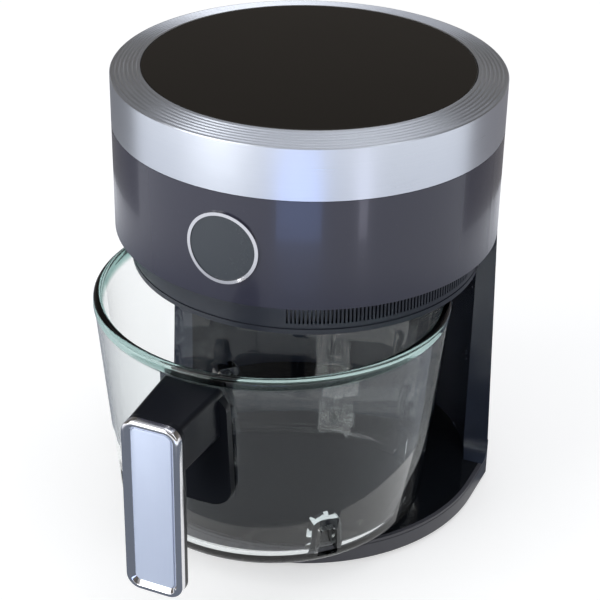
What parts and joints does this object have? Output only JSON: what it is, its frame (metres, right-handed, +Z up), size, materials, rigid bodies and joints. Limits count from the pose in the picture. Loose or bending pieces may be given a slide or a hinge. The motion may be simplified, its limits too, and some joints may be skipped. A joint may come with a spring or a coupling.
{
  "type": "glass air fryer",
  "caption": "Countertop hot-air fryer: a round head on a rear column over a flat base, with a clear glass bowl that slides out by its front handle.",
  "frame": {"origin": "on the resting surface, under the middle of the whole object as it stands with the bowl partly out", "axes": "+Z up, -Y towards the front, where the handle is; +X to the right seen from the front"},
  "size_m": [0.241, 0.3362, 0.2865],
  "materials": {
    "base_plastic": "satin",
    "floor_plastic": "gloss",
    "column_plastic": "satin",
    "band_plastic": "high gloss",
    "skirt_plastic": "satin",
    "badge_plastic": "gloss",
    "handle_plastic": "gloss",
    "white_plastic": "matt",
    "circuit_board": "matt",
    "ring_aluminium": "brushed satin",
    "fan_aluminium": "plain",
    "chrome": "polished",
    "inlay_metal": "satin",
    "steel": "plain",
    "element_steel": "dark",
    "brass": "plain",
    "ceramic": "matt",
    "rubber": "matt",
    "black_glass": "gloss, printed black behind",
    "bowl_glass": "clear, green at the edges"
  },
  "bodies": {
    "housing": {"base_shell": "base_plastic", "base_floor": "floor_plastic", "base_bottom_plate": "floor_plastic", "base_screws": "steel", "rubber_feet": "rubber", "column_liner": "column_plastic", "column_rear_cover": "column_plastic", "cord_gland": "rubber", "power_board": "circuit_board", "board_screws": "steel", "safety_switch": "floor_plastic", "head_band": "band_plastic", "head_skirt": "skirt_plastic", "head_ring": "ring_aluminium", "control_glass": "black_glass", "control_carrier": "floor_plastic", "control_board": "circuit_board", "display_module": "white_plastic", "touch_springs": "steel", "badge_disc": "badge_plastic", "badge_ring": "chrome", "heater_reflector": "steel", "heating_element": "element_steel", "heater_bushings": "ceramic", "heater_clips": "steel", "guard_grille": "steel", "temperature_sensor": "steel", "thermal_cutout": "steel", "heat_shield": "steel", "head_screws": "steel", "motor_housing": "element_steel", "shaft_bearings": "brass", "motor_bracket": "steel"},
    "bowl": {"glass_bowl": "bowl_glass", "handle_pad": "rubber", "handle_body": "handle_plastic", "handle_frame": "chrome", "handle_inlay": "inlay_metal", "handle_screws": "steel"},
    "fan_rotor": {"convection_fan": "fan_aluminium", "cooling_fan": "floor_plastic", "motor_shaft": "steel", "fan_nut": "steel", "motor_rotor": "element_steel"},
    "plunger": {"switch_plunger": "white_plastic"}
  },
  "joints": [
    {"name": "bowl_slide", "type": "slide", "parent": "housing", "child": "bowl", "axis": [0, -1, 0], "range_m": [-0.0393, 0.22]},
    {"name": "fan_spin", "type": "hinge", "parent": "housing", "child": "fan_rotor", "pos_m": [0, 0.04315, 0.2], "axis": [0, 0, 1], "continuous": true},
    {"name": "plunger_slide", "type": "slide", "parent": "housing", "child": "plunger", "axis": [0, 1, 0], "range_m": [0, 0.0018], "stiffness_N_per_m": 250, "springref_m": -0.002}
  ]
}
